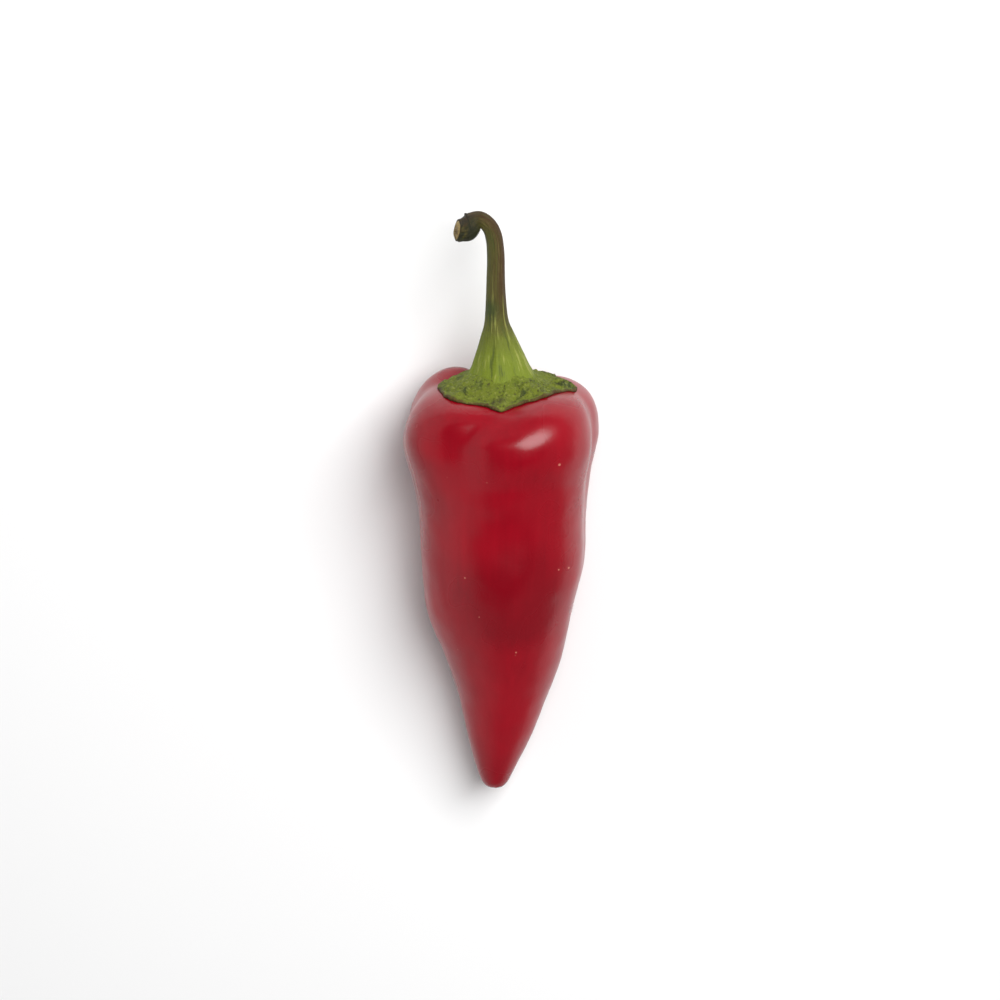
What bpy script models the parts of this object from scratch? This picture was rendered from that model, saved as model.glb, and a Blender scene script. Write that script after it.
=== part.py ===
"""A ripe red chilli pepper as picked, lying on its side on a flat surface.

It has three pieces: the pod, the calyx that caps it, and the stem.
Lengths are in metres. +Z is up, the stem end points along +Y and the tip along -Y. The origin
is on the surface that the pepper lies on, below the middle of its bounding box.

Each piece is first drawn in the pepper's own frame, in millimetres. There y runs from the tip
of the pod to the stem, x runs across, and z points to the upper side. An angle is taken round
that axis, from the upper side towards +x. The three pieces are then laid down together.

Every piece starts as a sphere of rings. A ring's share of the way from one pole to the other,
and a point's angle on its ring, say where on the skin of the piece that point belongs.
"""

from math import acos, atan2, cos, degrees, exp, floor, hypot, pi, radians, sin, sqrt

import bmesh
import bpy
from mathutils import Matrix, Vector

MM = 0.001
GAP = 0.3

# The pod. Each station is its distance from the tip, its half width, how far the centre line
# drifts sideways there, and how strongly the lobes stand out. The first only steers the curve.
FLANK = (
    (67.0, 15.1, -0.05, 1.00),
    (60.5, 16.6, -0.05, 1.00),
    (54.0, 15.0, 0.15, 0.85),
    (47.5, 14.1, 0.35, 0.60),
    (39.0, 13.8, 0.40, 0.50),
    (31.5, 12.4, -0.05, 0.42),
    (23.5, 9.9, 0.45, 0.18),
    (16.0, 7.4, 0.40, 0.10),
    (8.5, 5.0, -0.30, 0.05),
    (3.2, 3.05, -0.90, 0.00),
    (0.6, 1.75, -1.00, 0.00),
    (0.0, 0.0, -1.00, 0.00),
)
DEPTH_SHARE = 0.96  # the pod is a little less deep than wide
# Furrows run down from the calyx, at these angles. Each is as deep as a share of the half
# width, first at the shoulder and then at the belly, where the upper one has filled out. From
# each to the next stands a lobe: how far it bulges out, and how high its crest rises.
FURROWS = (-2.0, 84.0, 181.0, 266.0)
FURROW_DEPTH = (0.08, 0.10, 0.16, 0.10)
BELLY_FURROW_DEPTH = (-0.05, 0.08, 0.16, 0.08)
SHOULDER_HEIGHT, BELLY_HEIGHT = 62.0, 50.0
LOBE_BULGE = (0.07, 0.10, 0.07, 0.05)
LOBE_RISE = (0.6, 1.0, 2.5, 0.3)
FURROW_ROUNDING = 0.30
FURROW_CREST = 67.4  # distance from the tip to the crown where a furrow crosses it
SIDE_RISE = 1.2  # the crown stands this much higher at its left and right
CREST_RADIUS = 9.2  # where the crown stands highest, between its middle and the shoulder
# A power of 2 rounds the shoulder like a circle, and more makes it fuller. The right side is
# the fuller one: this much more than the middle there, and as much less on the left.
SHOULDER_POWER = 2.3
FULLER_SIDE = 0.2
SEAT_HEIGHT = 67.8  # distance from the tip to the middle of the crown, below the stem
# The upper furrow leans to the left as it leaves the crown.
LEAN_ANGLE = -21.0
LEAN_WIDTH = 45.0
LEAN_HEIGHTS = (68.0, 61.5)

# The calyx is a thin cap on the crown. Its margin is drawn out into blunt teeth, each with its
# angle, length and angular width.
MARGIN_RADIUS = 10.3
TEETH = (
    (0.0, 1.8, 10.0),
    (40.0, 0.7, 24.0),
    (88.0, 2.1, 15.0),
    (136.0, 0.4, 14.0),
    (182.0, 1.4, 14.0),
    (262.0, 0.4, 14.0),
    (317.0, 1.4, 20.0),
)
BAY = (220.0, 4.6, 32.0)  # on the tallest lobe: its angle, how far it cuts in, its width
CALYX_THICKNESS = 1.0
MARGIN_THICKNESS = 0.5
BOSS_RADIUS = 6.0
BOSS_FOOT_RADIUS = 9.5
BOSS_HEIGHT = 70.3  # distance from the tip to the flat that the stem stands on

# The stem: points on its centre line, each with its radius there. It leaves the calyx as a
# flared foot, runs straight, hooks over to the left and ends in a swollen cut end.
STEM = (
    (0.05, 70.6, 0.0, 5.6),
    (-0.05, 72.2, 0.05, 4.65),
    (-0.25, 74.8, 0.1, 3.6),
    (-0.5, 77.6, 0.2, 2.55),
    (-0.7, 80.4, 0.3, 1.8),
    (-0.8, 85.5, 0.2, 1.5),
    (-0.8, 90.5, 0.0, 1.4),
    (-1.2, 93.7, -0.2, 1.35),
    (-2.2, 95.5, -0.3, 1.3),
    (-3.7, 96.2, -0.2, 1.4),
    (-5.3, 95.0, 0.1, 2.15),
    (-7.0, 94.55, 0.65, 1.65),
)
CUT_SLANT = 0.42  # how far the cut leans across the end, as a slope
SLANT_START = 0.8  # share of the stem's length past which the rings begin to lean with it
CUT_BULGE = 0.35  # how far the middle of the cut end stands out
STEM_RIBS = 5
RIB_SHARE = 0.05  # how far a rib stands out, as a share of the radius

# How the pepper lies: on its two lower lobes and its belly, pressed flat a little where it
# touches. The tilt lifts the stem end, and the roll turns the pepper about its own axis.
TILT = 6.4
ROLL = -0.7
PRESSED_FLAT = 0.2

# Rings and points round each piece.
POD_RINGS, POD_ROUND = 52, 60
CALYX_RINGS, CALYX_ROUND = 20, 60
STEM_RINGS, STEM_ROUND = 44, 20
# Shares of the pod's rings: crown up to the first, shoulder up to the second, then flank.
CROWN_END, SHOULDER_END = 0.12, 0.32
# Shares of the stem's rings: foot up to the first, cut end past the second.
FOOT_END, CUT_START = 0.07, 0.93


def ease(low, high, value):
    """0 below low and 1 above high, with a smooth rise between them."""
    t = min(max((value - low) / (high - low), 0.0), 1.0)
    return t * t * (3 - 2 * t)


def bell(offset, width):
    return exp(-((offset / width) ** 2))


def away_from(centre, angle):
    """The angle from a centre in degrees, the short way round."""
    return (degrees(angle) - centre + 180.0) % 360.0 - 180.0


def through(points, at):
    """The smooth curve through all the points. At a whole number it is at that point."""
    last = len(points) - 1
    i = min(int(at), last - 1)
    t = at - i
    before, a, b, after = (
        Vector(points[min(max(k, 0), last)]) for k in (i - 1, i, i + 1, i + 2)
    )
    return a + 0.5 * t * (
        (b - before)
        + t * ((2 * before - 5 * a + 4 * b - after) + t * (3 * (a - b) + after - before))
    )


def lobe_at(angle):
    """The lobe and the nearest furrow at an angle, and how high on the lobe it is, 0 to 1."""
    angle = degrees(angle)
    turned = angle - 360.0 * floor((angle - FURROWS[0]) / 360.0)
    ends = FURROWS[1:] + (FURROWS[0] + 360.0,)
    lobe = next(i for i, end in enumerate(ends) if turned <= end)
    across = (turned - FURROWS[lobe]) / (ends[lobe] - FURROWS[lobe])
    furrow = lobe if across < 0.5 else (lobe + 1) % len(FURROWS)
    wave = sin(pi * across)
    sharp = sqrt(wave**2 + FURROW_ROUNDING**2) - FURROW_ROUNDING
    return lobe, furrow, sharp / (sqrt(1 + FURROW_ROUNDING**2) - FURROW_ROUNDING)


def section_radius(angle, height, half_width, lobing):
    """The pod's radius at an angle, on the section at this height and of this half width."""
    lobe, furrow, rise = lobe_at(angle)
    at_shoulder = ease(BELLY_HEIGHT, SHOULDER_HEIGHT, height)
    depth = BELLY_FURROW_DEPTH[furrow]
    depth += (FURROW_DEPTH[furrow] - depth) * at_shoulder
    return half_width * (1 + lobing * (LOBE_BULGE[lobe] * rise - depth * (1 - rise)))


def shoulder_power(angle):
    return SHOULDER_POWER + FULLER_SIDE * sin(angle)


def crest_height(angle):
    """How high the crown's crest stands at an angle."""
    lobe, _, rise = lobe_at(angle)
    return FURROW_CREST + SIDE_RISE * sin(angle) ** 2 + LOBE_RISE[lobe] * rise**2


def crown_height(angle, radius):
    """The height of the crown and shoulder at this distance from the axis."""
    widest, half_width, _, lobing = FLANK[1]
    reach = section_radius(angle, widest, half_width, lobing)
    top = crest_height(angle)
    if radius < CREST_RADIUS:
        return SEAT_HEIGHT + (top - SEAT_HEIGHT) * ease(0.0, CREST_RADIUS, radius)
    out = min((radius - CREST_RADIUS) / (reach - CREST_RADIUS), 1.0)
    power = shoulder_power(angle)
    return widest + (top - widest) * (1 - out**power) ** (1 / power)


def pod_point(angle, share):
    """A point on the pod's skin, from the middle of the crown at share 0 to the tip at 1."""
    widest, half_width, drift, lobing = FLANK[1]
    if share < SHOULDER_END:
        reach = section_radius(angle, widest, half_width, lobing)
        if share < CROWN_END:
            radius = CREST_RADIUS * share / CROWN_END
        else:
            turn = 0.5 * pi * (share - CROWN_END) / (SHOULDER_END - CROWN_END)
            out = sin(turn) ** (2 / shoulder_power(angle))
            radius = CREST_RADIUS + (reach - CREST_RADIUS) * out
        height = crown_height(angle, radius)
    else:
        along = (share - SHOULDER_END) / (1 - SHOULDER_END)
        height, half_width, drift, lobing = through(FLANK, 1 + along * (len(FLANK) - 2))
        radius = section_radius(angle, height, half_width, lobing)
    lean = LEAN_ANGLE * (1 - ease(LEAN_HEIGHTS[1], LEAN_HEIGHTS[0], height))
    angle += radians(lean * bell(away_from(FURROWS[0], angle), LEAN_WIDTH))
    return Vector((drift + radius * sin(angle), height, radius * cos(angle) * DEPTH_SHARE))


def margin_radius(angle):
    """How far the calyx reaches from the axis."""
    reach = MARGIN_RADIUS
    for tooth, length, width in TEETH:
        reach += length * bell(away_from(tooth, angle), width)
    bay, depth, width = BAY
    return reach - depth * bell(away_from(bay, angle), width)


def calyx_point(angle, share):
    """A point on the calyx: its top from the middle out to the margin, then back below."""
    out = 1 - abs(2 * share - 1)
    radius = out * margin_radius(angle)
    below = crown_height(angle, radius)
    step = 0.05
    slope = (crown_height(angle, radius + step) - below) / step
    upright = 1 / sqrt(1 + slope**2)
    lift = GAP
    if share < 0.5:
        lift += CALYX_THICKNESS + (MARGIN_THICKNESS - CALYX_THICKNESS) * out**2
    height = below + lift * upright
    if share < 0.5:
        height += (BOSS_HEIGHT - height) * ease(-BOSS_FOOT_RADIUS, -BOSS_RADIUS, -radius)
    radius -= lift * slope * upright * out
    drift = FLANK[1][2]
    return Vector((drift + radius * sin(angle), height, radius * cos(angle) * DEPTH_SHARE))


def stem_point(angle, share):
    """A point on the stem: its flat foot, its side, and its slanted cut end."""
    along = min(max((share - FOOT_END) / (CUT_START - FOOT_END), 0.0), 1.0)
    last = len(STEM) - 1
    x, y, z, radius = through(STEM, along * last)
    step = 0.05
    ahead = through(STEM, min(along * last + step, last))
    behind = through(STEM, max(along * last - step, 0.0))
    forward = (ahead - behind).xyz.normalized()
    if along == 0.0:
        forward = Vector((0, 1, 0))
    up = Vector((0, 0, 1))
    side = forward.cross(up).normalized()
    up = side.cross(forward)
    radius *= 1 + RIB_SHARE * cos(STEM_RIBS * angle)
    middle = Vector((x, y, z))
    if share < FOOT_END:
        radius *= share / FOOT_END
    if share > CUT_START:
        out = (1 - share) / (1 - CUT_START)
        radius *= out
        middle += forward * CUT_BULGE * (1 - out**2)
    middle -= forward * CUT_SLANT * radius * sin(angle) * ease(SLANT_START, 1.0, along)
    return middle + radius * (side * sin(angle) + up * cos(angle))


def lay_down():
    """The turn that lays the pepper on its side, in metres."""
    tilted = Matrix.Rotation(radians(TILT), 4, "X")
    rolled = Matrix.Rotation(radians(ROLL), 4, "Y")
    return Matrix.Scale(MM, 4) @ tilted @ rolled


def skin(name, place, rings, around, colour, roughness):
    """One closed piece: a sphere of rings, with each point moved to its place on the piece."""
    bm = bmesh.new()
    bmesh.ops.create_uvsphere(bm, u_segments=around, v_segments=rings, radius=1)
    turn = lay_down()
    for vert in bm.verts:
        share = acos(max(-1.0, min(1.0, vert.co.z))) / pi
        angle = atan2(vert.co.x, vert.co.y) if hypot(vert.co.x, vert.co.y) > 1e-6 else 0.0
        vert.co = turn @ place(angle, share)
    if bm.calc_volume(signed=True) < 0:
        bmesh.ops.reverse_faces(bm, faces=bm.faces)
    mesh = bpy.data.meshes.new(name)
    bm.to_mesh(mesh)
    bm.free()
    mesh.shade_smooth()
    piece = bpy.data.objects.new(name, mesh)
    bpy.context.scene.collection.objects.link(piece)
    finish = bpy.data.materials.new(name)
    finish.use_nodes = True
    shader = finish.node_tree.nodes["Principled BSDF"]
    shader.inputs["Base Color"].default_value = (*colour, 1)
    shader.inputs["Roughness"].default_value = roughness
    shader.inputs["Metallic"].default_value = 0.0
    mesh.materials.append(finish)
    return piece


def rest_on_surface(pieces):
    """Drops the pieces until the lowest is pressed flat on z = 0, centred over the origin."""
    points = [vert.co for piece in pieces for vert in piece.data.vertices]
    low = Vector([min(p[k] for p in points) for k in range(3)])
    high = Vector([max(p[k] for p in points) for k in range(3)])
    middle = (low + high) / 2
    shift = Vector((-middle.x, -middle.y, -low.z - PRESSED_FLAT * MM))
    for piece in pieces:
        for vert in piece.data.vertices:
            vert.co += shift
            vert.co.z = max(vert.co.z, 0.0)


def main():
    for obj in list(bpy.data.objects):
        bpy.data.objects.remove(obj)
    pod = skin("pod", pod_point, POD_RINGS, POD_ROUND, (0.42, 0.012, 0.02), 0.25)
    calyx = skin("calyx", calyx_point, CALYX_RINGS, CALYX_ROUND, (0.14, 0.19, 0.025), 0.55)
    stem = skin("stem", stem_point, STEM_RINGS, STEM_ROUND, (0.13, 0.16, 0.03), 0.5)
    rest_on_surface([pod, calyx, stem])


main()
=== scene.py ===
"""A ripe red chilli pepper, lying on its side on a pale surface.

The file is laid out as a Blender add-on and run as a script. An operator makes each piece: the
pod, the calyx and the stem. Another makes the stage, with its floor, light and camera.

The shapes are drawn in the pepper's own frame, in millimetres: y runs from the tip of the pod
to the stem, x runs across, and z points to the upper side. An angle is taken round that axis,
from the upper side towards +x. The pieces are then laid down where the frame has them.

Every piece starts as a sphere of rings. A ring's share of the way from one pole to the other,
and a point's angle on its ring, say where on the skin of the piece that point belongs. Each
point also keeps its place as grown, which the materials read: a pattern follows that place.
"""

from math import acos, atan2, cos, degrees, exp, floor, hypot, pi, radians, sin, sqrt

import bmesh
import bpy
from bpy.props import FloatProperty, FloatVectorProperty, PointerProperty
from mathutils import Matrix, Vector, noise


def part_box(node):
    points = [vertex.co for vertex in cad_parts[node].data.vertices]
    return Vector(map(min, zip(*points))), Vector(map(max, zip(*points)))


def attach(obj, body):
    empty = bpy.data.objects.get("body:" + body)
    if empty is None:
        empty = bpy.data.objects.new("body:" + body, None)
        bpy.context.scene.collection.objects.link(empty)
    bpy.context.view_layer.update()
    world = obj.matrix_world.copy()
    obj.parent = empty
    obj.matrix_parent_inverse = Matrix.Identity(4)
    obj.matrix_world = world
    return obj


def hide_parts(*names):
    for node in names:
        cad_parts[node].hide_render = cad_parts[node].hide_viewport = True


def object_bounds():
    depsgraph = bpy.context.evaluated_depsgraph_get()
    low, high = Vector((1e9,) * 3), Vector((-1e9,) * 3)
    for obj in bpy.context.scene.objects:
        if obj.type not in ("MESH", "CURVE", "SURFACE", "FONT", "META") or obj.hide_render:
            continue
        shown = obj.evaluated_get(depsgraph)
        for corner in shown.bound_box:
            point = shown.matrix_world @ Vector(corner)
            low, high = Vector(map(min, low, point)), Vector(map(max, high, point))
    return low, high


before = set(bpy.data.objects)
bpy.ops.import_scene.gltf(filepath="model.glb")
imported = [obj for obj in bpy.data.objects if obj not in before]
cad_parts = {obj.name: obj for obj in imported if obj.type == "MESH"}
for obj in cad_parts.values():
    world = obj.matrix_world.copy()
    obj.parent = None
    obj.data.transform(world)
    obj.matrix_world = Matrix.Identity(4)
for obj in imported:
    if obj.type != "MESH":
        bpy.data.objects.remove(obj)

bl_info = {
    "name": "Chilli pepper",
    "version": (1, 0, 0),
    "blender": (4, 5, 0),
    "location": "View3D > Sidebar > Chilli",
    "description": "Makes a ripe red chilli pepper with its calyx and stem",
    "category": "Add Mesh",
}

MM = 0.001
CAD_BOX = [list(corner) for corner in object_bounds()]

# ---------------------------------------------------------------- the shape of the pod
# Each station is its distance from the tip, its half width, how far the centre line drifts
# sideways there, and how strongly the lobes stand out. The first only steers the curve.
FLANK = (
    (67.0, 15.1, -0.05, 1.00),
    (60.5, 16.6, -0.05, 1.00),
    (54.0, 15.0, 0.15, 0.85),
    (47.5, 14.1, 0.35, 0.60),
    (39.0, 13.8, 0.40, 0.50),
    (31.5, 12.4, -0.05, 0.42),
    (23.5, 9.9, 0.45, 0.18),
    (16.0, 7.4, 0.40, 0.10),
    (8.5, 5.0, -0.30, 0.05),
    (3.2, 3.05, -0.90, 0.00),
    (0.6, 1.75, -1.00, 0.00),
    (0.0, 0.0, -1.00, 0.00),
)
DEPTH_SHARE = 0.96  # the pod is a little less deep than wide
# Furrows run down from the calyx, at these angles. Each is as deep as a share of the half
# width, first at the shoulder and then at the belly, where the upper one has filled out. From
# each to the next stands a lobe: how far it bulges out, and how high its crest rises.
FURROWS = (-2.0, 84.0, 181.0, 266.0)
FURROW_DEPTH = (0.08, 0.10, 0.16, 0.10)
BELLY_FURROW_DEPTH = (-0.05, 0.08, 0.16, 0.08)
SHOULDER_HEIGHT, BELLY_HEIGHT = 62.0, 50.0
LOBE_BULGE = (0.07, 0.10, 0.07, 0.05)
LOBE_RISE = (0.6, 1.0, 2.5, 0.3)
FURROW_ROUNDING = 0.30
FURROW_CREST = 67.4  # distance from the tip to the crown where a furrow crosses it
SIDE_RISE = 1.2  # the crown stands this much higher at its left and right
CREST_RADIUS = 9.2  # where the crown stands highest, between its middle and the shoulder
# A power of 2 rounds the shoulder like a circle, and more makes it fuller. The right side is
# the fuller one: this much more than the middle there, and as much less on the left.
SHOULDER_POWER = 2.3
FULLER_SIDE = 0.2
SEAT_HEIGHT = 67.8  # distance from the tip to the middle of the crown, below the stem
# The upper furrow leans to the left as it leaves the crown.
LEAN_ANGLE = -21.0
LEAN_WIDTH = 45.0
LEAN_HEIGHTS = (68.0, 61.5)
# The scar at the blunt tip, where the flower's style dropped off: a dimple and its rim.
SCAR = Vector((-0.35, 0.55, 1.0))
DIMPLE_DEPTH, DIMPLE_RADIUS = 0.16, 0.30
RIM_HEIGHT, RIM_RADIUS, RIM_WIDTH = 0.06, 0.55, 0.14
# Lumps come in layers, each with its height and how fine it is.
POD_LUMPS = ((0.22, 0.11), (0.07, 0.33))

# ---------------------------------------------------------------- the shape of the calyx
MARGIN_RADIUS = 10.3
MARGIN_LUMPS = ((0.35, 3.1), (0.26, 9.0))
# Teeth of the margin: the angle, length and angular width of each.
TEETH = (
    (0.0, 1.8, 10.0),
    (40.0, 0.7, 24.0),
    (88.0, 2.1, 15.0),
    (136.0, 0.4, 14.0),
    (182.0, 1.4, 14.0),
    (262.0, 0.4, 14.0),
    (317.0, 1.4, 20.0),
)
BAY = (220.0, 4.6, 32.0)  # on the tallest lobe: its angle, how far it cuts in, its width
CALYX_LIFT = 0.12  # its underside stands this far off the pod
CALYX_THICKNESS = 1.1
MARGIN_THICKNESS = 0.28
CALYX_LUMPS = ((0.45, 0.55), (0.34, 1.2), (0.16, 2.6))
VEIN_HEIGHT, VEIN_WIDTH = 0.35, 6.0  # a vein runs out to each tooth; its width is an angle
# It rises in a hollow slope to a boss, whose top is a collar round the stem's foot.
BOSS_RADIUS = 5.2
BOSS_FOOT_RADIUS = 9.8
BOSS_HEIGHT = 71.2  # distance from the tip
BOSS_HOLLOW = 1.7  # a power: 1 would be a straight slope

# ---------------------------------------------------------------- the shape of the stem
# Points on its centre line, each with its radius there. It leaves the calyx as a flared foot,
# runs straight, hooks over to the left and ends in a swollen cut end.
STEM = (
    (0.05, 70.0, 0.0, 5.8),
    (-0.05, 72.2, 0.05, 4.65),
    (-0.25, 74.8, 0.1, 3.6),
    (-0.5, 77.6, 0.2, 2.55),
    (-0.7, 80.4, 0.3, 1.8),
    (-0.8, 85.5, 0.2, 1.5),
    (-0.8, 90.5, 0.0, 1.4),
    (-1.2, 93.7, -0.2, 1.35),
    (-2.2, 95.5, -0.3, 1.3),
    (-3.7, 96.2, -0.2, 1.4),
    (-5.3, 95.0, 0.1, 2.15),
    (-7.0, 94.55, 0.65, 1.65),
)
STEM_LENGTH = 32.0
GRAIN_RADIUS = 1.5  # the stem's radius as grown, which its ribs and fibres follow
KNOB_START, KNOB_FULL = 0.8, 0.95  # shares of the way along, where the end swells
CUT_SLANT = 0.42  # how far the cut leans across the end, as a slope
CUT_BULGE = 0.35

# ---------------------------------------------------------------- how the pepper lies
TILT = 6.4
ROLL = -0.7
PRESSED_FLAT = 0.2

# Shares of the pod's rings: crown up to the first, shoulder up to the second, then flank.
CROWN_END, SHOULDER_END = 0.12, 0.32
# Shares of the stem's rings: foot up to the first, cut end past the second.
FOOT_END, CUT_START = 0.04, 0.94


# ================================================================ shape functions
def ease(low, high, value):
    """0 below low and 1 above high, with a smooth rise between them."""
    t = min(max((value - low) / (high - low), 0.0), 1.0)
    return t * t * (3 - 2 * t)


def bell(offset, width):
    """1 in the middle and near 0 past twice the width."""
    return exp(-((offset / width) ** 2))


def away_from(centre, angle):
    """The angle from a centre in degrees, the short way round."""
    return (degrees(angle) - centre + 180.0) % 360.0 - 180.0


def through(points, at):
    """The smooth curve through all the points. At a whole number it is at that point."""
    last = len(points) - 1
    i = min(int(at), last - 1)
    t = at - i
    before, a, b, after = (
        Vector(points[min(max(k, 0), last)]) for k in (i - 1, i, i + 1, i + 2)
    )
    return a + 0.5 * t * (
        (b - before)
        + t * ((2 * before - 5 * a + 4 * b - after) + t * (3 * (a - b) + after - before))
    )


def lumps(place, layers):
    """Lumps in layers, each with its height and how fine it is."""
    return sum(height * noise.noise(place * fineness) for height, fineness in layers)


def lobe_at(angle):
    """The lobe and the nearest furrow at an angle, and how high on the lobe it is, 0 to 1."""
    angle = degrees(angle)
    turned = angle - 360.0 * floor((angle - FURROWS[0]) / 360.0)
    ends = FURROWS[1:] + (FURROWS[0] + 360.0,)
    lobe = next(i for i, end in enumerate(ends) if turned <= end)
    across = (turned - FURROWS[lobe]) / (ends[lobe] - FURROWS[lobe])
    furrow = lobe if across < 0.5 else (lobe + 1) % len(FURROWS)
    wave = sin(pi * across)
    sharp = sqrt(wave**2 + FURROW_ROUNDING**2) - FURROW_ROUNDING
    return lobe, furrow, sharp / (sqrt(1 + FURROW_ROUNDING**2) - FURROW_ROUNDING)


def section_radius(angle, height, half_width, lobing):
    """The pod's radius at an angle, on the section at this height and of this half width."""
    lobe, furrow, rise = lobe_at(angle)
    at_shoulder = ease(BELLY_HEIGHT, SHOULDER_HEIGHT, height)
    depth = BELLY_FURROW_DEPTH[furrow]
    depth += (FURROW_DEPTH[furrow] - depth) * at_shoulder
    return half_width * (1 + lobing * (LOBE_BULGE[lobe] * rise - depth * (1 - rise)))


def shoulder_power(angle):
    """How full the shoulder is at an angle."""
    return SHOULDER_POWER + FULLER_SIDE * sin(angle)


def crest_height(angle):
    """How high the crown's crest stands at an angle."""
    lobe, _, rise = lobe_at(angle)
    return FURROW_CREST + SIDE_RISE * sin(angle) ** 2 + LOBE_RISE[lobe] * rise**2


def crown_height(angle, radius):
    """The height of the crown and shoulder at this distance from the axis."""
    widest, half_width, _, lobing = FLANK[1]
    reach = section_radius(angle, widest, half_width, lobing)
    top = crest_height(angle)
    if radius < CREST_RADIUS:
        return SEAT_HEIGHT + (top - SEAT_HEIGHT) * ease(0.0, CREST_RADIUS, radius)
    out = min((radius - CREST_RADIUS) / (reach - CREST_RADIUS), 1.0)
    power = shoulder_power(angle)
    return widest + (top - widest) * (1 - out**power) ** (1 / power)


def pod_point(angle, share):
    """A point on the pod's skin, from the middle of the crown at share 0 to the tip at 1."""
    widest, half_width, drift, lobing = FLANK[1]
    if share < SHOULDER_END:
        reach = section_radius(angle, widest, half_width, lobing)
        if share < CROWN_END:
            radius = CREST_RADIUS * share / CROWN_END
        else:
            turn = 0.5 * pi * (share - CROWN_END) / (SHOULDER_END - CROWN_END)
            out = sin(turn) ** (2 / shoulder_power(angle))
            radius = CREST_RADIUS + (reach - CREST_RADIUS) * out
        height = crown_height(angle, radius)
    else:
        along = (share - SHOULDER_END) / (1 - SHOULDER_END)
        height, half_width, drift, lobing = through(FLANK, 1 + along * (len(FLANK) - 2))
        radius = section_radius(angle, height, half_width, lobing)
    lean = LEAN_ANGLE * (1 - ease(LEAN_HEIGHTS[1], LEAN_HEIGHTS[0], height))
    angle += radians(lean * bell(away_from(FURROWS[0], angle), LEAN_WIDTH))
    return Vector((drift + radius * sin(angle), height, radius * cos(angle) * DEPTH_SHARE))


def pod_skin(angle, share):
    """The pod's point with the skin's slow lumps and the dimple of the scar at the tip."""
    spot = pod_point(angle, share)
    outward = Vector((sin(angle), 0.0, cos(angle)))
    smooth_ends = ease(0.0, 0.1, share) * ease(0.0, 0.12, 1 - share)
    spot += outward * lumps(spot, POD_LUMPS) * smooth_ends
    inward = (Vector((FLANK[-1][2], 3.0, 0.0)) - spot).normalized()
    from_scar = (spot - SCAR).length
    rim = RIM_HEIGHT * bell(from_scar - RIM_RADIUS, RIM_WIDTH)
    spot += inward * (DIMPLE_DEPTH * bell(from_scar, DIMPLE_RADIUS) - rim)
    return spot, spot, 0.0


def margin_radius(angle):
    """How far the calyx reaches from the axis."""
    reach = MARGIN_RADIUS
    for tooth, length, width in TEETH:
        reach += length * bell(away_from(tooth, angle), width)
    bay, depth, width = BAY
    reach -= depth * bell(away_from(bay, angle), width)
    return reach + lumps(Vector((sin(angle), cos(angle), 0.0)), MARGIN_LUMPS)


def calyx_skin(angle, share):
    """A point on the calyx: its top from the middle out to the margin, then back below."""
    out = 1 - abs(2 * share - 1)
    radius = out * margin_radius(angle)
    below = crown_height(angle, radius)
    step = 0.05
    slope = (crown_height(angle, radius + step) - below) / step
    upright = 1 / sqrt(1 + slope**2)
    lift = CALYX_LIFT
    if share < 0.5:
        spot = Vector((radius * sin(angle), radius * cos(angle), 0.0))
        lift += CALYX_THICKNESS + (MARGIN_THICKNESS - CALYX_THICKNESS) * out**2
        rolled = 0.06 * bell(out - 0.96, 0.035)
        rough = lumps(spot, CALYX_LUMPS)
        veins = sum(bell(away_from(tooth, angle), VEIN_WIDTH) for tooth, _, _ in TEETH)
        veins *= VEIN_HEIGHT * bell(out - 0.8, 0.22)
        lift += rolled + (rough + veins) * ease(0.4, 0.6, out) * (1 - 0.5 * ease(0.9, 1.0, out))
    height = below + lift * upright
    if share < 0.5:
        rise = min(max((BOSS_FOOT_RADIUS - radius) / (BOSS_FOOT_RADIUS - BOSS_RADIUS), 0.0), 1.0)
        height += (BOSS_HEIGHT + 0.5 * rough - height) * rise**BOSS_HOLLOW
    radius -= lift * slope * upright * out
    drift = FLANK[1][2]
    spot = Vector((drift + radius * sin(angle), height, radius * cos(angle) * DEPTH_SHARE))
    return spot, Vector((radius * sin(angle), out, radius * cos(angle))), out


def stem_skin(angle, share):
    """A point on the stem: its flat foot, its side, and its slanted cut end."""
    along = min(max((share - FOOT_END) / (CUT_START - FOOT_END), 0.0), 1.0)
    last = len(STEM) - 1
    x, y, z, radius = through(STEM, along * last)
    step = 0.05
    ahead = through(STEM, min(along * last + step, last))
    behind = through(STEM, max(along * last - step, 0.0))
    forward = (ahead - behind).xyz.normalized()
    if along == 0.0:
        forward = Vector((0, 1, 0))
    up = Vector((0, 0, 1))
    side = forward.cross(up).normalized()
    up = side.cross(forward)
    around = Vector((GRAIN_RADIUS * sin(angle), STEM_LENGTH * along, GRAIN_RADIUS * cos(angle)))
    flare = 1 - ease(0.1, 0.5, along)
    ribs = 0.6 * cos(5 * angle + 0.6) + 0.4 * cos(8 * angle - 1.0 + 2 * along)
    ribs += 0.9 * noise.noise(Vector((around.x * 1.6, around.y * 0.08, around.z * 1.6)))
    radius *= 1 + ribs * (0.035 + 0.02 * flare) * (1 - 0.5 * ease(0.85, 0.95, along))
    radius *= 1 + 0.03 * noise.noise(Vector((along * 14.0, 0.0, 3.0)))
    knob = ease(KNOB_START, KNOB_FULL, along)
    radius *= 1 + 0.10 * knob * noise.noise(around * 0.9)
    middle = Vector((x, y, z))
    out = 1.0
    if share < FOOT_END:
        radius *= share / FOOT_END
    if share > CUT_START:
        out = (1 - share) / (1 - CUT_START)
        radius *= out
        rough = 0.25 * noise.noise(around * out * 1.4 + Vector((7, 0, 0))) * (1 - out)
        middle += forward * (CUT_BULGE * (1 - out**4) - 0.22 * bell(out - 0.86, 0.06) + rough)
    middle -= forward * CUT_SLANT * radius * sin(angle) * knob
    spot = middle + radius * (side * sin(angle) + up * cos(angle))
    return spot, around, 1 - out


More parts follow.
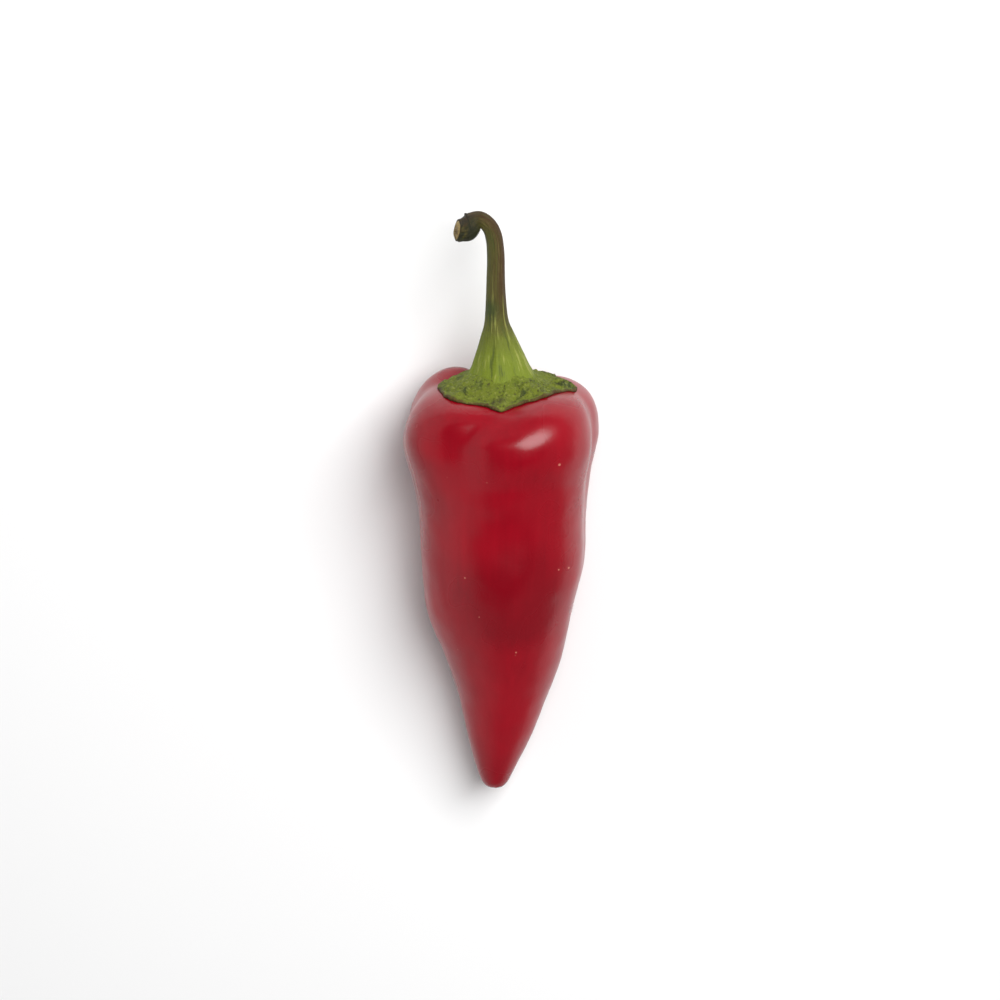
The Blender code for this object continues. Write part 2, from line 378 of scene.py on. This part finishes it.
# ================================================================ meshes
def lay_down():
    """The turn and shift that lay the pepper down where the frame has its pod, in metres."""
    turn = Matrix.Scale(MM, 4)
    turn @= Matrix.Rotation(radians(TILT), 4, "X") @ Matrix.Rotation(radians(ROLL), 4, "Y")
    points = [
        turn @ pod_point(2 * pi * i / 90, share / 200) for i in range(90) for share in range(201)
    ]
    low = Vector([min(p[k] for p in points) for k in range(3)])
    high = Vector([max(p[k] for p in points) for k in range(3)])
    pod_low, pod_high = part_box("pod")
    shift = (Vector(pod_low) + Vector(pod_high)) / 2 - (low + high) / 2
    shift.z = pod_low[2] - low.z - PRESSED_FLAT * MM
    return Matrix.Translation(shift) @ turn


def as_piece(bm, name):
    """Puts a finished mesh into the scene, and frees what it was made with."""
    mesh = bpy.data.meshes.new(name)
    bm.to_mesh(mesh)
    bm.free()
    piece = bpy.data.objects.new(name, mesh)
    bpy.context.scene.collection.objects.link(piece)
    return piece


def skin(name, place, rings, around):
    """A closed mesh: a sphere of rings, with each point moved to its place on the piece."""
    bm = bmesh.new()
    bmesh.ops.create_uvsphere(bm, u_segments=around, v_segments=rings, radius=1)
    grown = bm.verts.layers.float_vector.new("grown")
    mark = bm.verts.layers.float.new("mark")
    turn = lay_down()
    lowest = CAD_BOX[0][2]
    for vert in bm.verts:
        share = acos(max(-1.0, min(1.0, vert.co.z))) / pi
        angle = atan2(vert.co.x, vert.co.y) if hypot(vert.co.x, vert.co.y) > 1e-6 else 0.0
        spot, vert[grown], vert[mark] = place(angle, share)
        vert.co = turn @ spot
        vert.co.z = max(vert.co.z, lowest)
    if bm.calc_volume(signed=True) < 0:
        bmesh.ops.reverse_faces(bm, faces=bm.faces)
    piece = as_piece(bm, name)
    piece.data.shade_smooth()
    return piece


# ================================================================ shader maths
class Value:
    """A node's output. Arithmetic on it adds Math nodes to the same material."""

    def __init__(self, paint, socket):
        self.paint = paint
        self.socket = socket

    def maths(self, operation, *values):
        inputs = dict(enumerate(values))
        return self.paint.node("ShaderNodeMath", {"operation": operation}, inputs)

    def __add__(self, other):
        return self.maths("ADD", self, other)

    __radd__ = __add__

    def __sub__(self, other):
        return self.maths("SUBTRACT", self, other)

    def __rsub__(self, other):
        return self.maths("SUBTRACT", other, self)

    def __mul__(self, other):
        return self.maths("MULTIPLY", self, other)

    __rmul__ = __mul__

    def __truediv__(self, other):
        return self.maths("DIVIDE", self, other)

    def __abs__(self):
        return self.maths("ABSOLUTE", self)

    def ease(self, low, high):
        """0 where the value is below low and 1 above high; low may be the larger."""
        settings = {"interpolation_type": "SMOOTHSTEP"}
        inputs = {"Value": self, "From Min": low, "From Max": high}
        return self.paint.node("ShaderNodeMapRange", settings, inputs)


class Paint:
    """A new material, whose nodes are added one expression at a time."""

    def __init__(self, name):
        self.material = bpy.data.materials.new(name)
        self.material.use_nodes = True
        self.tree = self.material.node_tree
        self.shader = self.tree.nodes["Principled BSDF"]

    def node(self, kind, settings=None, inputs=None, output=0):
        """Makes any node: its settings first, then its sockets' values and links."""
        made = self.tree.nodes.new(kind)
        for name, value in (settings or {}).items():
            setattr(made, name, value)
        for name, value in (inputs or {}).items():
            if isinstance(value, Value):
                self.tree.links.new(value.socket, made.inputs[name])
            else:
                made.inputs[name].default_value = value
        return Value(self, made.outputs[output])

    def grown(self):
        """The point's place as grown."""
        return self.node("ShaderNodeAttribute", {"attribute_name": "grown"}, output="Vector")

    def mark(self):
        """How far out a point is on the calyx, or how far in on the stem's cut."""
        return self.node("ShaderNodeAttribute", {"attribute_name": "mark"}, output="Fac")

    def stretched(self, place, scale):
        inputs = {"Vector": place, "Scale": scale}
        return self.node("ShaderNodeMapping", {"vector_type": "POINT"}, inputs)

    def noise(self, place, scale, detail=2.0, roughness=0.5):
        inputs = {"Vector": place, "Scale": scale, "Detail": detail, "Roughness": roughness}
        return self.node("ShaderNodeTexNoise", None, inputs)

    def from_spots(self, place, scale):
        """The distance from the nearest of many scattered spots."""
        inputs = {"Vector": place, "Scale": scale}
        return self.node("ShaderNodeTexVoronoi", {"feature": "F1"}, inputs, "Distance")

    def distance(self, place, point):
        inputs = {0: place, 1: point}
        return self.node("ShaderNodeVectorMath", {"operation": "DISTANCE"}, inputs, "Value")

    def part_of(self, place, axis):
        return self.node("ShaderNodeSeparateXYZ", None, {"Vector": place}, axis)

    def mix(self, share, first, second):
        """A colour between two others."""
        settings = {"data_type": "RGBA", "clamp_factor": True}
        return self.node("ShaderNodeMix", settings, {0: share, 6: first, 7: second}, 2)

    def bump(self, height, millimetres, strength=1.0):
        inputs = {"Height": height, "Distance": millimetres * MM, "Strength": strength}
        return self.node("ShaderNodeBump", None, inputs)

    def finish(self, **sockets):
        """Sets the shader's sockets, which are named with _ for a space."""
        for name, value in sockets.items():
            socket = self.shader.inputs[name.replace("_", " ")]
            if isinstance(value, Value):
                self.tree.links.new(value.socket, socket)
            else:
                socket.default_value = value
        return self.material


def tint(red, green, blue):
    """A colour from its screen values, 0 to 255."""
    parts = [part / 255 for part in (red, green, blue)]
    return tuple(p / 12.92 if p < 0.04045 else ((p + 0.055) / 1.055) ** 2.4 for p in parts)


def solid(colour):
    return (*colour, 1.0)


# ================================================================ materials
# Small pale flecks on the upper side: across, along from the tip, and radius.
FLECKS = (
    (9.4, 58.9, 0.26),
    (9.4, 40.6, 0.17),
    (11.05, 40.5, 0.20),
    (2.5, 26.5, 0.18),
    (-5.8, 39.6, 0.15),
    (-3.5, 33.0, 0.12),
)
# Where the darker patches are: on the pod and the stem as grown, and at a tooth of the calyx. The
# pod's patch is painted shade on the upper belly, where the skin faces the dark overhead.
PAINTED_BELLY_SHADE = (2.0, 36.5, 12.0)
BROWN_TOOTH = (-0.6, 0.85, 10.2)
DARK_BLOTCH = (-0.9, 12.2, 1.1)


def skin_material(colours):
    """Waxy red skin: cloudy reds, faint streaks, pale flecks, a dark scar at the tip, and painted
    shade on the upper belly.
    """
    paint = Paint("chilli_skin")
    own = paint.grown()
    clouds = paint.noise(own, 0.085, 2.0)
    streaks = paint.noise(paint.stretched(own, (0.8, 0.055, 0.8)), 1.0, 3.0, 0.6)
    grain = paint.noise(own, 2.6, 2.0)
    # Painted shade: the skin turns deeper red on the upper belly, where it faces the dark
    # overhead.
    painted_belly_shade = paint.distance(own, PAINTED_BELLY_SHADE).ease(12.0, 5.0)
    share = (clouds - 0.5) * 1.4 + (streaks - 0.5) * 0.7 + (grain - 0.5) * 0.12 + 0.65
    share = share - painted_belly_shade * 0.7
    colour = paint.mix(share, solid(colours.deep_red), solid(colours.ripe_red))
    flat = paint.node("ShaderNodeVectorMath", {"operation": "MULTIPLY"}, {0: own, 1: (1, 1, 0)})
    upper = paint.part_of(own, "Z").ease(0.0, 1.0)
    for across, along, radius in FLECKS:
        fleck = paint.distance(flat, (across, along, 0.0)).ease(radius, radius * 0.5) * upper
        colour = paint.mix(fleck * 0.75, colour, solid(colours.fleck))
    scattered = paint.from_spots(own, 0.23).ease(0.04, 0.02)
    colour = paint.mix(scattered * 0.18, colour, solid(colours.fleck))
    from_scar = paint.distance(own, tuple(SCAR))
    ring = abs(from_scar - 0.42).ease(0.22, 0.05)
    colour = paint.mix(ring * 0.75, colour, solid(colours.scar))
    peel = paint.noise(own, 1.9, 2.0)
    return paint.finish(
        Base_Color=colour,
        Roughness=(clouds - 0.5) * 0.12 + 0.28,
        Normal=paint.bump(peel, 0.015),
        Coat_Weight=0.06,
        Coat_Roughness=0.18,
        IOR=1.40,
    )


def calyx_material(colours):
    """Fleshy green: blotched, cracked and veined, with a thin brown margin, and pale specks
    painted as highlights on its lumps.
    """
    paint = Paint("calyx_flesh")
    own = paint.grown()
    place = paint.stretched(own, (1.0, 3.0, 1.0))
    blotches = paint.noise(place, 0.42, 4.0, 0.6)
    fine = paint.noise(place, 1.6, 5.0, 0.7)
    specks = paint.noise(place, 2.4, 3.0, 0.6)
    colour = paint.mix(blotches.ease(0.32, 0.52), solid(colours.dark_green), solid(colours.green))
    colour = paint.mix(fine.ease(0.46, 0.68) * 0.85, colour, solid(colours.bright_green))
    collar = (paint.mark() + (fine - 0.5) * 0.5).ease(0.72, 0.45)
    colour = paint.mix(collar * 0.8, colour, solid(colours.bright_green))
    # Painted highlights: pale green specks on the tops of the lumps, where they catch the light.
    colour = paint.mix(specks.ease(0.56, 0.66) * 0.6, colour, solid(colours.pale_green_and_highlight))
    colour = paint.mix(specks.ease(0.44, 0.32) * 0.8, colour, solid(colours.vein_brown))
    rim = (paint.mark() + (fine - 0.5) * 0.12).ease(0.955, 0.99)
    colour = paint.mix(rim * 0.8, colour, solid(colours.rim_brown))
    tooth = paint.distance(own, BROWN_TOOTH).ease(1.7, 0.4) * fine.ease(0.35, 0.6)
    colour = paint.mix(tooth * 0.9, colour, solid(colours.vein_brown))
    height = fine * 1.0 + blotches * 0.6 + specks * 0.5
    return paint.finish(
        Base_Color=colour,
        Roughness=0.5 + (1 - blotches) * 0.3,
        Normal=paint.bump(height, 0.55),
        IOR=1.4,
    )


def stem_material(colours):
    """Ribbed stalk: bright green at its foot, olive brown above, and a pale dry cut."""
    paint = Paint("stalk_skin")
    own = paint.grown()
    along = paint.part_of(own, "Y") / STEM_LENGTH
    right = paint.part_of(own, "X") / GRAIN_RADIUS
    fibres = paint.noise(paint.stretched(own, (3.4, 0.14, 3.4)), 1.0, 4.0, 0.65)
    mottle = paint.noise(own, 0.5, 3.0, 0.6)
    up = along + (mottle - 0.5) * 0.12
    colour = paint.mix(up.ease(0.10, 0.42), solid(colours.bright_green), solid(colours.olive))
    brown = up.ease(0.22, 0.50) * (right * 0.6 + (fibres - 0.5) * 3.6 + 0.45)
    colour = paint.mix(brown, colour, solid(colours.stalk_brown))
    colour = paint.mix(fibres.ease(0.44, 0.32) * 0.6, colour, solid(colours.dark_green))
    pale = fibres.ease(0.54, 0.68) * (0.75 - up.ease(0.3, 0.6) * 0.45)
    colour = paint.mix(pale, colour, solid(colours.pale_green_and_highlight))
    blotch = paint.distance(own, DARK_BLOTCH).ease(1.9, 0.5) * mottle.ease(0.3, 0.6)
    colour = paint.mix(blotch * 0.85, colour, solid(colours.dark_green))
    knob = up.ease(0.76, 0.88) * mottle.ease(0.72, 0.42)
    colour = paint.mix(knob * 0.9, colour, solid(colours.knob_green))
    cut = paint.mark()
    colour = paint.mix(cut.ease(0.0, 0.03), colour, solid(colours.vein_brown))
    colour = paint.mix(cut.ease(0.12, 0.2), colour, solid(colours.cut_tan))
    stain = cut.ease(0.2, 0.3) * paint.noise(own, 1.6, 3.0, 0.6).ease(0.46, 0.60)
    colour = paint.mix(stain * 0.7, colour, solid(colours.stalk_brown))
    return paint.finish(
        Base_Color=colour,
        Roughness=0.5 + fibres * 0.25,
        Normal=paint.bump(fibres + paint.noise(own, 2.5, 2.0) * 0.3, 0.45),
        IOR=1.38,
    )


# ================================================================ settings
def shade(name, description, colour):
    return FloatVectorProperty(
        name=name, description=description, subtype="COLOR", default=colour, min=0, max=1
    )


class ChilliColours(bpy.types.PropertyGroup):
    """The colours of the pepper."""

    ripe_red: shade("Ripe red", "Lighter red of the skin", tint(150, 3, 24))
    deep_red: shade("Deep red", "Darker red of the skin", tint(124, 1, 18))
    fleck: shade("Fleck", "Pale flecks on the skin", tint(205, 128, 108))
    scar: shade("Scar", "Ring at the tip", tint(60, 12, 14))
    green: shade("Green", "Main green of the calyx", tint(108, 118, 24))
    olive: shade("Olive", "Main green of the stem", tint(80, 78, 24))
    bright_green: shade("Bright green", "Fresh green at the stem's foot", tint(108, 122, 22))
    # This colour also paints the highlights on the calyx's lumps.
    pale_green_and_highlight: shade("Pale green", "Light ribs of the stem", tint(150, 154, 74))
    dark_green: shade("Dark green", "Blotches", tint(52, 64, 18))
    knob_green: shade("Knob green", "The stem's swollen end", tint(28, 32, 16))
    stalk_brown: shade("Stalk brown", "The stem's olive brown", tint(68, 42, 20))
    rim_brown: shade("Margin brown", "The calyx's thin margin", tint(78, 50, 26))
    vein_brown: shade("Vein brown", "Cracks and veins", tint(52, 42, 20))
    cut_tan: shade("Cut tan", "The stem's dry cut", tint(160, 138, 88))


class ChilliStage(bpy.types.PropertyGroup):
    """The floor, the light and the camera."""

    floor: shade("Floor", "Colour of the floor", (0.86, 0.86, 0.86))
    walls: FloatProperty(name="Walls", description="Brightness at the horizon", default=0.32)
    ceiling: FloatProperty(name="Ceiling", description="Brightness above the walls", default=0.26)
    overhead: FloatProperty(name="Overhead", description="Brightness overhead", default=0.02)
    key_power: FloatProperty(
        name="Key light", description="Power of the key light", default=4.4, unit="POWER"
    )
    fill_power: FloatProperty(
        name="Fill light", description="Power of the broad fill light", default=1.6, unit="POWER"
    )
    lens: FloatProperty(
        name="Lens", description="The camera's focal length", default=135.0, unit="CAMERA"
    )
    view_width: FloatProperty(
        name="View width",
        description="Width that the camera sees at the pepper",
        default=0.1638,
        unit="LENGTH",
    )


# ================================================================ pieces
def finish_piece(piece, material, node):
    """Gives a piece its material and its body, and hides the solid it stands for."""
    piece.data.materials.append(material)
    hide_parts(node)
    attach(piece, "root")


class CHILLI_OT_pod(bpy.types.Operator):
    """Make the lobed red pod"""

    bl_idname = "chilli.pod"
    bl_label = "Pod"

    def execute(self, context):
        pod = skin("pod_skin", pod_skin, rings=230, around=240)
        finish_piece(pod, skin_material(context.scene.chilli_colours), "pod")
        return {"FINISHED"}


class CHILLI_OT_calyx(bpy.types.Operator):
    """Make the green calyx on the crown of the pod"""

    bl_idname = "chilli.calyx"
    bl_label = "Calyx"

    def execute(self, context):
        calyx = skin("calyx_cap", calyx_skin, rings=130, around=260)
        finish_piece(calyx, calyx_material(context.scene.chilli_colours), "calyx")
        return {"FINISHED"}


class CHILLI_OT_stem(bpy.types.Operator):
    """Make the hooked stem with its cut end"""

    bl_idname = "chilli.stem"
    bl_label = "Stem"

    def execute(self, context):
        stem = skin("stem_stalk", stem_skin, rings=260, around=96)
        finish_piece(stem, stem_material(context.scene.chilli_colours), "stem")
        return {"FINISHED"}


# ================================================================ stage
VIEW_TILT = 14.0  # how far the camera sees the stem end tipped towards it
VIEW_SHIFT = Vector((-0.3, 1.0, 0.0))  # from the middle of the pepper to that of the view


def make_camera(settings):
    """Looks down on the pepper, from over its stem end, with the stem to the top."""
    data = bpy.data.cameras.new("camera")
    data.lens = settings.lens
    data.sensor_width = 36.0
    camera = bpy.data.objects.new("camera", data)
    bpy.context.scene.collection.objects.link(camera)
    bpy.context.scene.camera = camera
    low, high = (Vector(corner) for corner in CAD_BOX)
    distance = settings.view_width * data.lens / data.sensor_width
    lying = Matrix.Rotation(radians(TILT), 4, "X") @ Matrix.Rotation(radians(ROLL), 4, "Y")
    turn = lying @ Matrix.Rotation(radians(-VIEW_TILT), 4, "X")
    back = turn.to_3x3() @ Vector((0, 0, distance))
    target = (low + high) / 2 + turn.to_3x3() @ VIEW_SHIFT * MM
    camera.matrix_world = Matrix.Translation(target + back) @ turn


def make_floor(settings):
    """A plain matt floor under the pepper."""
    bm = bmesh.new()
    bmesh.ops.create_grid(bm, x_segments=1, y_segments=1, size=3.0)
    bmesh.ops.translate(bm, verts=bm.verts, vec=(0, 0, CAD_BOX[0][2] - 0.05 * MM))
    floor_piece = as_piece(bm, "floor")
    matt = Paint("floor").finish(Base_Color=solid(settings.floor), Roughness=0.9)
    floor_piece.data.materials.append(matt)


# The surround by the upward part of a direction: walls up to the first, a ceiling up to the
# second, and past the third the dark space overhead, where the camera is.
WALLS_END, CEILING_END, OVERHEAD_START = 0.35, 0.66, 0.76
LEFT_SHARE = 3.2  # how bright the far left is, next to the rest


def make_surround(settings):
    """Bright walls all round, brighter at the left, and darker overhead."""
    world = bpy.data.worlds.new("surround")
    bpy.context.scene.world = world
    world.use_nodes = True
    tree = world.node_tree
    nodes, links = tree.nodes, tree.links
    direction = nodes.new("ShaderNodeTexCoord")
    parts = nodes.new("ShaderNodeSeparateXYZ")
    heights = nodes.new("ShaderNodeValToRGB")
    stops = heights.color_ramp.elements
    stops[0].position, stops[1].position = 0.0, OVERHEAD_START
    for position in (WALLS_END, CEILING_END):
        stops.new(position)
    levels = (settings.walls, settings.ceiling, settings.ceiling, settings.overhead)
    for stop, level in zip(stops, levels):
        stop.color = (level, level, level, 1)
    sides = nodes.new("ShaderNodeMapRange")
    sides.inputs["From Min"].default_value = -1.0
    sides.inputs["From Max"].default_value = 0.0
    sides.inputs["To Min"].default_value = LEFT_SHARE
    sides.inputs["To Max"].default_value = 1.0
    links.new(direction.outputs["Generated"], parts.inputs["Vector"])
    links.new(parts.outputs["Z"], heights.inputs["Fac"])
    links.new(parts.outputs["X"], sides.inputs["Value"])
    links.new(heights.outputs["Color"], nodes["Background"].inputs["Color"])
    links.new(sides.outputs["Result"], nodes["Background"].inputs["Strength"])


def make_light(name, power, size, place):
    """A soft rectangular light at a place, that faces the pepper."""
    data = bpy.data.lights.new(name, "AREA")
    data.energy = power
    data.shape = "RECTANGLE"
    data.size, data.size_y = size
    light = bpy.data.objects.new(name, data)
    bpy.context.scene.collection.objects.link(light)
    target = Vector((0.0, 0.01, 0.02))
    light.location = place
    light.rotation_euler = (target - light.location).to_track_quat("-Z", "Y").to_euler()
    return light


class CHILLI_OT_stage(bpy.types.Operator):
    """Make the camera, the floor and the light"""

    bl_idname = "chilli.stage"
    bl_label = "Stage"

    def execute(self, context):
        settings = context.scene.chilli_stage
        make_camera(settings)
        make_floor(settings)
        make_surround(settings)
        make_light("key", settings.key_power, (0.34, 0.48), (0.18, 0.20, 0.52))
        fill = make_light("fill", settings.fill_power, (1.4, 1.4), (0.0, 0.0, 1.2))
        fill.visible_glossy = False
        context.scene.view_settings.view_transform = "Standard"
        return {"FINISHED"}


# ================================================================ panel and registration
class CHILLI_PT_panel(bpy.types.Panel):
    """Lists the steps that make the pepper"""

    bl_idname = "CHILLI_PT_panel"
    bl_label = "Chilli pepper"
    bl_space_type = "VIEW_3D"
    bl_region_type = "UI"
    bl_category = "Chilli"

    def draw(self, context):
        for step in STEPS:
            self.layout.operator(step.bl_idname)
        for settings in (context.scene.chilli_colours, context.scene.chilli_stage):
            for name in settings.bl_rna.properties.keys():
                if name not in {"rna_type", "name"}:
                    self.layout.prop(settings, name)


STEPS = (CHILLI_OT_stage, CHILLI_OT_pod, CHILLI_OT_calyx, CHILLI_OT_stem)
CLASSES = (ChilliColours, ChilliStage) + STEPS + (CHILLI_PT_panel,)


def register():
    for cls in CLASSES:
        bpy.utils.register_class(cls)
    bpy.types.Scene.chilli_colours = PointerProperty(type=ChilliColours)
    bpy.types.Scene.chilli_stage = PointerProperty(type=ChilliStage)


def unregister():
    del bpy.types.Scene.chilli_stage
    del bpy.types.Scene.chilli_colours
    for cls in reversed(CLASSES):
        bpy.utils.unregister_class(cls)


def main():
    register()
    bpy.ops.chilli.stage()
    bpy.ops.chilli.pod()
    bpy.ops.chilli.calyx()
    bpy.ops.chilli.stem()


if __name__ == "__main__":
    main()
